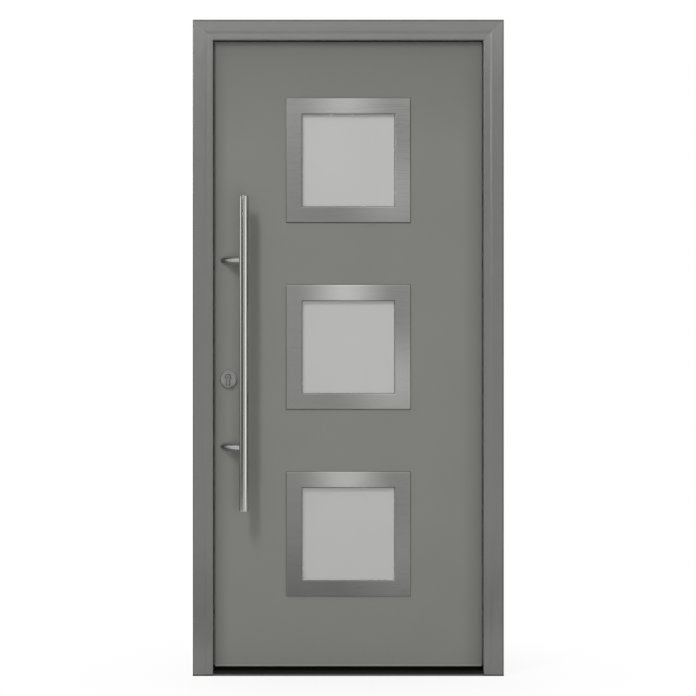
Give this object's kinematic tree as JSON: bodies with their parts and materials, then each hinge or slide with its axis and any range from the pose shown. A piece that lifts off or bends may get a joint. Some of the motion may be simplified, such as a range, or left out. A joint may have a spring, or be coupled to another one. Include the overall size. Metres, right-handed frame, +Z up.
{
  "type": "front door with frame",
  "caption": "Grey painted front door in its frame, with a flush leaf, square frosted windows in steel trims, a long upright pull bar, key cylinder, inside lever and barrel hinges.",
  "frame": {"origin": "under the middle of the frame, on the threshold's underside", "axes": "+X to the right seen from outside, +Y from outside to inside, +Z up"},
  "size_m": [1, 0.195, 2.11],
  "materials": {
    "frame_paint": "grey powder coat, satin",
    "leaf_paint": "warm grey powder coat, satin",
    "satin_stainless": "satin ground",
    "nickel_plated": "nickel plated, satin",
    "lock_steel": "zinc plated",
    "clear_glass": "polished",
    "frosted_glass": "etched, frosted",
    "black_rubber": "matt",
    "black_plastic": "matt",
    "threshold_metal": "dark anodised",
    "cast_aluminium": "mill finish",
    "foam": "closed-cell foam"
  },
  "bodies": {
    "frame": {"left_jamb_outer": "frame_paint", "right_jamb_outer": "frame_paint", "head_outer": "frame_paint", "left_jamb_inner": "frame_paint", "right_jamb_inner": "frame_paint", "head_inner": "frame_paint", "thermal_breaks": "black_plastic", "corner_cleats": "cast_aluminium", "frame_gasket": "black_rubber", "jamb_feet": "black_plastic", "threshold_base": "black_plastic", "threshold_rail": "threshold_metal", "strikes": "lock_steel", "lower_hinge_frame_half": "satin_stainless", "middle_hinge_frame_half": "satin_stainless", "upper_hinge_frame_half": "satin_stainless", "hinge_pins": "satin_stainless"},
    "leaf": {"outer_skin": "leaf_paint", "inner_skin": "leaf_paint", "lock_stile": "leaf_paint", "hinge_stile": "leaf_paint", "top_rail": "leaf_paint", "bottom_rail": "leaf_paint", "leaf_core": "foam", "bottom_seal": "black_rubber", "lower_outer_trim": "satin_stainless", "middle_outer_trim": "satin_stainless", "upper_outer_trim": "satin_stainless", "inner_trims": "satin_stainless", "outer_panes": "frosted_glass", "middle_panes": "clear_glass", "inner_panes": "clear_glass", "pane_spacers": "cast_aluminium", "glazing_gaskets": "black_rubber", "pull_bar": "satin_stainless", "bar_caps": "satin_stainless", "lower_bracket": "satin_stainless", "upper_bracket": "satin_stainless", "handle_bolts": "satin_stainless", "outer_rosette": "satin_stainless", "inner_rosette": "satin_stainless", "lever_rosette": "satin_stainless", "lock_cylinder": "nickel_plated", "inner_plug": "nickel_plated", "lock_case": "lock_steel", "auxiliary_lock_cases": "lock_steel", "lock_faceplate": "lock_steel", "lower_hinge_leaf_half": "satin_stainless", "middle_hinge_leaf_half": "satin_stainless", "upper_hinge_leaf_half": "satin_stainless"},
    "lever": {"lever_handle": "satin_stainless", "lever_spindle": "lock_steel", "follower": "lock_steel"},
    "latch": {"latch_bolt": "lock_steel"},
    "key_plug": {"cylinder_plug": "nickel_plated", "cylinder_cam": "lock_steel"},
    "deadbolt": {"deadbolt": "lock_steel"},
    "side_bolts": {"side_bolts": "lock_steel"},
    "drive_rod": {"drive_rod": "lock_steel"}
  },
  "joints": [
    {"name": "leaf_swing", "type": "hinge", "parent": "frame", "child": "leaf", "pos_m": [0.4445, 0.0515, 1.05], "axis": [0, 0, -1], "range_deg": [0, 100]},
    {"name": "lever_turn", "type": "hinge", "parent": "leaf", "child": "lever", "pos_m": [-0.387, 0.027, 1.052], "axis": [0, 1, 0], "range_deg": [0, 45], "stiffness_Nm_per_rad": 1, "springref_deg": -28.65},
    {"name": "latch_slide", "type": "slide", "parent": "leaf", "child": "latch", "axis": [1, 0, 0], "range_m": [0, 0.012]},
    {"name": "key_turn", "type": "hinge", "parent": "leaf", "child": "key_plug", "pos_m": [-0.387, 0.027, 0.96], "axis": [0, 1, 0], "range_deg": [0, 720]},
    {"name": "deadbolt_slide", "type": "slide", "parent": "leaf", "child": "deadbolt", "axis": [-1, 0, 0], "range_m": [0, 0.02]},
    {"name": "side_bolts_slide", "type": "slide", "parent": "leaf", "child": "side_bolts", "axis": [-1, 0, 0], "range_m": [0, 0.02]},
    {"name": "drive_rod_slide", "type": "slide", "parent": "leaf", "child": "drive_rod", "axis": [0, 0, 1], "range_m": [0, 0.02]}
  ],
  "couplings": [
    {"joint": "latch_slide", "follows": "lever_turn", "m_per_rad": 0.015278},
    {"joint": "key_turn", "follows": "drive_rod_slide", "rad_per_m": 628.3},
    {"joint": "deadbolt_slide", "follows": "drive_rod_slide", "ratio": 1},
    {"joint": "side_bolts_slide", "follows": "drive_rod_slide", "ratio": 1}
  ]
}
